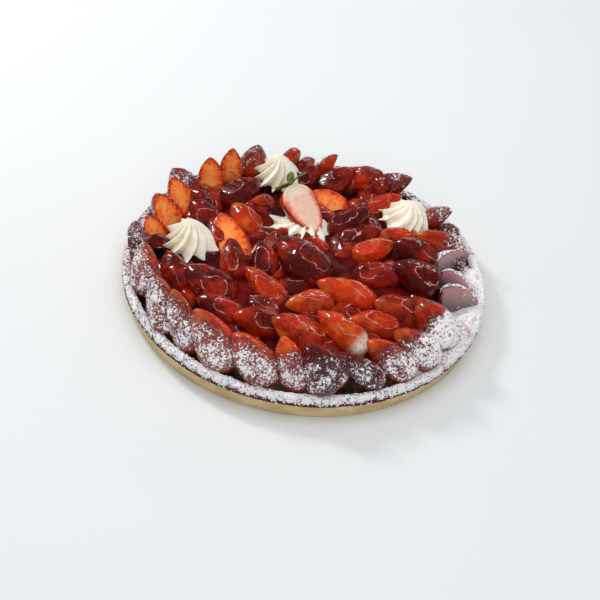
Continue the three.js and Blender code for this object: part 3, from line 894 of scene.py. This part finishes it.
# %% Geometry Nodes helper
class Growth(NodeMaker):
    """A Geometry Nodes tree under construction, with named inputs."""

    def __init__(self, name, **sizes):
        super().__init__(bpy.data.node_groups.new(name, "GeometryNodeTree"))
        self.sizes = sizes
        self.keys = {}
        self.add_input("Geometry", "NodeSocketGeometry")
        self.add_input("Material", "NodeSocketMaterial")
        for key, value in sizes.items():
            kind = "NodeSocketInt" if isinstance(value, int) else "NodeSocketFloat"
            self.add_input(key, kind).default_value = value
        self.tree.interface.new_socket("Geometry", in_out="OUTPUT", socket_type="NodeSocketGeometry")
        self.start = self.tree.nodes.new("NodeGroupInput")
        self.end = self.tree.nodes.new("NodeGroupOutput")

    def add_input(self, key, kind):
        socket = self.tree.interface.new_socket(key, in_out="INPUT", socket_type=kind)
        self.keys[key] = socket.identifier
        return socket

    def given(self, key):
        return Wire(self.tree, self.start.outputs[key])

    def attribute(self, name, kind):
        return self.node("GeometryNodeInputNamedAttribute", {"data_type": kind}, {"Name": name})

    def drawn(self, low, high):
        return self.node("FunctionNodeRandomValue", {"data_type": "FLOAT"},
                         {"Min": low, "Max": high, "Seed": self.given("Seed")}, 1)

    def scatter(self, spots, rotation, size, shape):
        """Sets a small ball on each spot, stretched to a shape, and makes the balls real mesh."""
        ball = self.node("GeometryNodeMeshIcoSphere", None, {"Radius": 0.5, "Subdivisions": 1})
        scale = self.node("ShaderNodeVectorMath", {"operation": "SCALE"}, {0: shape, "Scale": size})
        laid = self.node("GeometryNodeInstanceOnPoints", None, {
            "Points": spots, "Instance": ball, "Rotation": rotation, "Scale": scale})
        real = self.node("GeometryNodeRealizeInstances", None, {"Geometry": laid})
        coloured = self.node("GeometryNodeSetMaterial", None,
                             {"Geometry": real, "Material": self.given("Material")})
        feed(self.tree, self.end.inputs[0], coloured)

    def grow(self, name, guide, material):
        """Runs the tree on a guide object and returns the result as a plain mesh object."""
        modifier = guide.modifiers.new("growth", "NODES")
        modifier.node_group = self.tree
        for key, value in {**self.sizes, "Material": material}.items():
            modifier[self.keys[key]] = value
        evaluated = guide.evaluated_get(bpy.context.evaluated_depsgraph_get())
        mesh = bpy.data.meshes.new_from_object(evaluated)
        mesh.name = name
        guide.modifiers.remove(modifier)
        print(name, "has", len(mesh.polygons), "faces")
        return add_object(name, mesh)


# %% Seeds
SEED_LENGTH = 0.00125
SEED_SHAPE = (1.0, 0.62, 0.42)
SEED_RED = (0.12, 0.008, 0.003)
SEED_GOLD = (0.52, 0.15, 0.025)


def seed_growth():
    growth = Growth("seeds", Length=SEED_LENGTH, Seed=7)
    facing = growth.node("FunctionNodeAxesToRotation", None, {
        "Primary Axis": growth.attribute("outward", "FLOAT_VECTOR"),
        "Secondary Axis": growth.attribute("lengthways", "FLOAT_VECTOR")})
    size = growth.drawn(0.8, 1.15) * growth.given("Length")
    growth.scatter(growth.given("Geometry"), facing, size, SEED_SHAPE)
    return growth


def seed_finish():
    finish = Finish("seed", Roughness=0.25, Coat_Weight=0.9, Coat_Roughness=0.08)
    amount = finish.value("tone") + finish.noise(8, 2, 0.5) - 0.5
    finish.set(Base_Color=finish.blend(SEED_RED, SEED_GOLD, amount.clamp()))
    return finish.material


def make_seeds(name, spots, material):
    places, outward, lengthways, tone = (np.concatenate(values) for values in zip(*spots))
    guide_mesh = bpy.data.meshes.new(name + "_guide")
    guide_mesh.from_pydata((places * MM).tolist(), [], [])
    add_values(guide_mesh, {"tone": tone, "outward": outward, "lengthways": lengthways})
    guide = add_object(name + "_guide", guide_mesh)
    piece = seed_growth().grow(name, guide, material)
    bpy.data.objects.remove(guide)
    return piece


seed_material = seed_finish()
seeds = make_seeds("strawberry_seeds", seed_spots, seed_material)

# %% [markdown]
# A rosette is piped from a star nozzle in one turn: ten ridges wind down from the peak and end in points.
# The ridges are sharp and the hollows round, and the cream leans to where the nozzle left. One rosette came
# out smoother and more uneven than the others. Each row gives a rosette's name, azimuth, radius and lift,
# half its width, its height, where it leans and how far, and the angle of its first ridge. A twisted star
# could be extruded too, but one formula also thins the ridges upwards and ends them in points.

# %% Sizes and colours of the rosettes
ROSETTES = [
    ("cream_left", -178, 72, 20, 16, 17, 100, 4, 10),
    ("cream_back", 110, 78, 22, 15, 17, 100, 3, 35),
    ("cream_right", 40, 75, 22, 17, 14, 60, 4, 0),
    ("cream_middle", 107, 28.5, 18, 21, 11, 60, 2, 20),
]
RIDGES = 10
RIDGE_DEPTH = 0.2
SPIKE = 0.2
RIDGE_TWIST = -62
SMOOTHER = {"cream_right": 0.42}
ROSETTE_HEIGHTS = [0, 0.08, 0.25, 0.48, 0.7, 0.88, 1.0]
ROSETTE_WIDTHS = [0.72, 1, 0.97, 0.8, 0.56, 0.3, 0.03]
ROSETTE_SIDES = 256
ROSETTE_LEVELS = 64
CREAM_WHITE = (0.93, 0.88, 0.75)
CREAM_HOLLOW_PAINTED_SHADE = (0.78, 0.63, 0.29)


# %% Rosettes
def cream_finish():
    finish = Finish("whipped_cream", Roughness=0.42, Subsurface_Weight=0.35,
                    Subsurface_Radius=(1.0, 0.8, 0.5), Subsurface_Scale=0.004, Coat_Weight=0.15,
                    Coat_Roughness=0.3)
    hollow = finish.value("hollow")
    # Painted shade: the hollows between the ridges are painted a darker yellow.
    colour = finish.blend(CREAM_WHITE, CREAM_HOLLOW_PAINTED_SHADE, hollow * 0.85)
    finish.set(Base_Color=colour, Normal=finish.bump(finish.noise(1.8, 3, 0.5), 0.15))
    return finish.material


def make_rosette(row, material):
    name, azimuth, radius, lift, across, high, lean_to, lean, first = row
    up = np.linspace(0, 1, ROSETTE_LEVELS) ** 0.8
    wide = np.interp(up, ROSETTE_HEIGHTS, ROSETTE_WIDTHS)
    angle = np.linspace(0, 360, ROSETTE_SIDES, endpoint=False)
    sway = 4.5 * np.sin(np.radians(2 * angle + azimuth)) + 3 * np.sin(np.radians(3 * angle + first))
    phase = np.radians(RIDGES * (angle + sway - first))
    wave = np.cos(phase)
    sharp = SMOOTHER.get(name, 1)
    ridge = sharp * (1 - 1.9 * np.abs(np.sin(phase / 2)) ** 0.85)
    ridge += 0.25 * np.sin(np.radians(5 * angle + azimuth))
    spike = SPIKE * np.clip(wave, 0, 1)[None, :] ** 5 * np.exp(-((up[:, None] - 0.06) / 0.10) ** 2)
    reach = across * 0.86 * wide[:, None] * (1 + RIDGE_DEPTH * ridge[None, :] + spike)
    turned = np.radians(angle[None, :] + RIDGE_TWIST * (1 - up[:, None]))
    x, y = polar(azimuth, radius)
    lean_x, lean_y = polar(lean_to, lean)
    rings = np.stack([
        x + reach * np.cos(turned) + lean_x * up[:, None],
        y + reach * np.sin(turned) + lean_y * up[:, None],
        lift + high * up[:, None] + 0 * turned,
    ], axis=-1).reshape(-1, 3)
    points = np.vstack([[x, y, lift], rings, [x + lean_x, y + lean_y, lift + high]])
    points += 0.18 * uneven_shift(points, 7, 21)
    points += 0.9 * (1 - sharp) * uneven_shift(points, 12, 24)
    hollow = with_ends(np.tile(np.clip(-wave, 0, 1) ** 2, ROSETTE_LEVELS))
    faces = grid_faces(ROSETTE_LEVELS, ROSETTE_SIDES)
    return make_object(name + "_rosette", points, faces, material, {"hollow": hollow})


cream = cream_finish()
rosettes = {row[0]: make_rosette(row, cream) for row in ROSETTES}
print("rosettes:", len(rosettes))

# %% [markdown]
# The half strawberry on top shows its cut face: pale in the middle, orange red at the skin. Its leaves are
# one thin wavy star of five lobes, as a strawberry's cap is. The star is a closed shape with two sides, so
# that it looks right from below too.

# %% The garnish
LEAVES = 5
LEAF_LENGTH = 12
LEAF_THICK = 0.7
LEAF_FOLD = 2.2
LEAF_WAVE = 1.6
LEAF_SIDES = 150
CAP_GAP = 0.8
LEAF_DARK = (0.09, 0.17, 0.025)
LEAF_LIGHT = (0.30, 0.40, 0.09)


def leaf_finish():
    finish = Finish("leaf", Roughness=0.45, Subsurface_Weight=0.1, Subsurface_Scale=0.001)
    drift = finish.noise(3, 3, 0.6)
    finish.set(Base_Color=finish.blend(LEAF_DARK, LEAF_LIGHT, drift.between(0.4, 0.62)))
    finish.set(Normal=finish.bump(finish.noise(0.8, 3, 0.6), 0.2))
    return finish.material


def make_leaves(material):
    angle = np.linspace(0, 2 * math.pi, LEAF_SIDES, endpoint=False)
    lobe = 0.3 + 0.7 * np.abs(np.cos(LEAVES * angle / 2)) ** 1.6
    level = np.linspace(0.05, 1, 16)[:, None]
    reach = LEAF_LENGTH * level * lobe
    wave = LEAF_WAVE * level ** 2 * lobe * np.cos(3 * angle + 0.7)
    sink = wave - CAP_GAP - LEAF_FOLD * level * lobe
    under = np.stack([sink, reach * np.cos(angle), reach * np.sin(angle)], axis=-1)
    over = under - [LEAF_THICK, 0, 0]
    rings = np.concatenate([over, under[::-1]]).reshape(-1, 3)
    points = np.vstack([[-CAP_GAP - LEAF_THICK, 0, 0], rings, [-CAP_GAP, 0, 0]])
    faces = grid_faces(2 * len(level), LEAF_SIDES)
    return make_object("garnish_cap", moved(points, berry_place(GARNISH)), faces, material)


garnish_material = berry_finish("garnish_strawberry", pale=True)
garnish, garnish_spots = make_berries([GARNISH], garnish_material)
garnish_seeds = make_seeds("garnish_seeds", garnish_spots, seed_material)
leaves = make_leaves(leaf_finish())
print("leaves:", len(leaves.data.polygons), "faces")

# %% [markdown]
# Warm glaze runs off the fruit and sets in the gaps as a dark red jelly. A fluid could be simulated, but
# only its top shows, between the inner rings. One wavy sheet, closed below, stands for it.

# %% Glaze between the strawberries
GLAZE_RADIUS = 84
GLAZE_LEVEL = 19.5
GLAZE_EDGE = 12
GLAZE_BOTTOM = 9
GLAZE_SIDES = 240
GLAZE_DARK = (0.05, 0.002, 0.003)
GLAZE_RED = (0.17, 0.006, 0.005)


def glaze_finish():
    finish = Finish("set_glaze", Roughness=0.3, Specular_IOR_Level=0.12, Coat_Weight=0.14,
                    Coat_Roughness=0.12)
    drift = finish.noise(14, 3, 0.5).between(0.3, 0.7)
    finish.set(Base_Color=finish.blend(GLAZE_DARK, GLAZE_RED, drift))
    finish.set(Normal=finish.bump(finish.noise(6, 2, 0.5), 0.8))
    return finish.material


def make_glaze(material):
    angle = np.linspace(0, 2 * math.pi, GLAZE_SIDES, endpoint=False)
    spread = GLAZE_RADIUS * (1 + 0.025 * np.sin(5 * angle) + 0.02 * np.sin(11 * angle + 1))
    inside = np.linspace(1, 0.02, 40)
    top = turned_rings(np.outer(inside, spread), 0 * inside, GLAZE_SIDES)
    rise = 1 - smoothstep(58, GLAZE_RADIUS, np.hypot(top[:, 0], top[:, 1]))
    top[:, 2] = GLAZE_EDGE + (GLAZE_LEVEL - GLAZE_EDGE) * rise + 0.8 * uneven(top, 18, 31)
    low = turned_rings(np.outer([0.5, 0.995], spread), [GLAZE_BOTTOM, GLAZE_BOTTOM], GLAZE_SIDES)
    points = np.vstack([[0, 0, GLAZE_BOTTOM], low, top, [0, 0, GLAZE_LEVEL]])
    return make_object("set_glaze", points, grid_faces(len(inside) + 2, GLAZE_SIDES), material)


glaze = make_glaze(glaze_finish())
print("set glaze:", len(glaze.data.polygons), "faces")

# %% [markdown]
# Icing sugar also lies as loose lumps along the rim, and as a heap that slopes up to it at the front right.
# A Geometry Nodes tree scatters small grains over the shell, thicker where its dust value is high. The heap
# is a closed strip of its own, because scattered grains don't close up to a slope.

# %% Loose sugar
GRAIN_DENSITY = 900000.0
GRAIN_SIZE = 0.0010
GRAIN_SHAPE = (1.0, 1.0, 0.7)
SUGAR_SHADE = (0.78, 0.72, 0.74)
SUGAR_SPECK = (0.30, 0.14, 0.19)


def grain_growth():
    growth = Growth("grains", Density=GRAIN_DENSITY, Size=GRAIN_SIZE, Seed=3)
    density = growth.attribute("dust", "FLOAT") * growth.given("Density")
    spots = growth.node("GeometryNodeDistributePointsOnFaces", None, {
        "Mesh": growth.given("Geometry"), "Density": density, "Seed": growth.given("Seed")})
    size = growth.drawn(0.35, 1.4) * growth.given("Size")
    growth.scatter(spots, spots.beside("Rotation"), size, GRAIN_SHAPE)
    return growth


def sugar_finish():
    finish = Finish("icing_sugar", Roughness=0.9, Subsurface_Weight=0.2, Subsurface_Scale=0.001)
    colour = finish.blend(SUGAR_WHITE, SUGAR_SHADE, finish.noise(6, 2, 0.5).between(0.5, 0.7))
    specks = (finish.noise(1.3, 3, 0.6, 0.9) + finish.noise(12, 2, 0.5) * 0.5).between(0.79, 0.86)
    finish.set(Base_Color=finish.blend(colour, SUGAR_SPECK, specks * 0.75))
    finish.set(Normal=finish.bump(finish.noise(1.0, 4, 0.7), 0.5))
    return finish.material


# %% The heap of sugar
DRIFT_FROM, DRIFT_TO = 16, -50
DRIFT_STATIONS = 180
DRIFT_FOOT = 9.8
DRIFT_RISE = 5.6


def make_drift(material):
    """The heap of sugar that slopes from the fruit up to the rim at the front right."""
    ways = np.radians(np.linspace(DRIFT_FROM, DRIFT_TO, DRIFT_STATIONS))
    reach = np.linspace(90, 108.5, 26)
    rising = smoothstep(90, 104, reach) ** 0.8
    falling = 3.2 * smoothstep(105, 109, reach)
    spots = []
    for way in ways:
        at = math.degrees(way)
        high = 2.6 * math.exp(-((at + 24) / 10) ** 2) + 1.2 * math.exp(-((at - 4) / 7) ** 2)
        fade = float(smoothstep(17, 9, at) * smoothstep(-51, -40, at))
        slope = DRIFT_FOOT + fade * (DRIFT_RISE + high) * rising - falling
        ring = [(89.5, 9.2), *zip(reach, slope), (107, 10), (98, 9)]
        spots += [(r * math.cos(way), r * math.sin(way), z) for r, z in ring]
    count = len(spots) // len(ways)
    ends = [np.mean(spots[:count], axis=0), np.mean(spots[-count:], axis=0)]
    points = np.vstack([ends[0], spots, ends[1]])
    top = smoothstep(10, 12, points[:, 2])
    lumps = 0.5 * uneven(points, 8, 51) + 0.3 * uneven(points, 2.4, 52) + 0.15 * uneven(points, 1.2, 53)
    points[:, 2] += top * lumps
    return make_object("sugar_drift", points, grid_faces(len(ways), count), material)


sugar_material = sugar_finish()
grains = grain_growth().grow("rim_sugar", shell, sugar_material)
drift = make_drift(sugar_material)
print("heap of sugar:", len(drift.data.polygons), "faces")

# %% [markdown]
# Every piece rides on the tart's one body.

# %% Riding
node_slots = {entry["node"]: entry["material_slot"] for entry in frame["record"]["subparts"]}


def attach(piece, slot_name, *nodes):
    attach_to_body(piece, "root")
    if nodes:
        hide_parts(*nodes)


attach(shell, "crust", "crust")
attach(grains, "crust")
attach(drift, "crust")
attach(almond_cream, "almond", "filling")
attach(glaze, "glazed_berry")
attach(seeds, "glazed_berry")
attach(garnish["garnish_half"], "cut_berry", "garnish_half")
attach(garnish_seeds, "cut_berry")
attach(leaves, "leaf", "garnish_leaves")
for name, piece in berries.items():
    if name in node_slots:
        attach(piece, node_slots[name], name)
    else:
        attach(piece, "glazed_berry")
for name, piece in rosettes.items():
    attach(piece, "cream", name)

# %% Ground
GROUND_SIZE = 4.0
GROUND_GREY = (0.71, 0.73, 0.74)
GROUND_PALE = (0.75, 0.765, 0.775)


def make_ground():
    finish = Finish("ground", Roughness=0.85)
    finish.set(Base_Color=finish.blend(GROUND_GREY, GROUND_PALE, finish.noise(300, 2, 0.5)))
    half = GROUND_SIZE / 2 / MM
    corners = [(-half, -half, -0.05), (half, -half, -0.05), (half, half, -0.05), (-half, half, -0.05)]
    ground = make_object("ground", corners, [(0, 1, 2, 3)], finish.material, smooth=False)


make_ground()
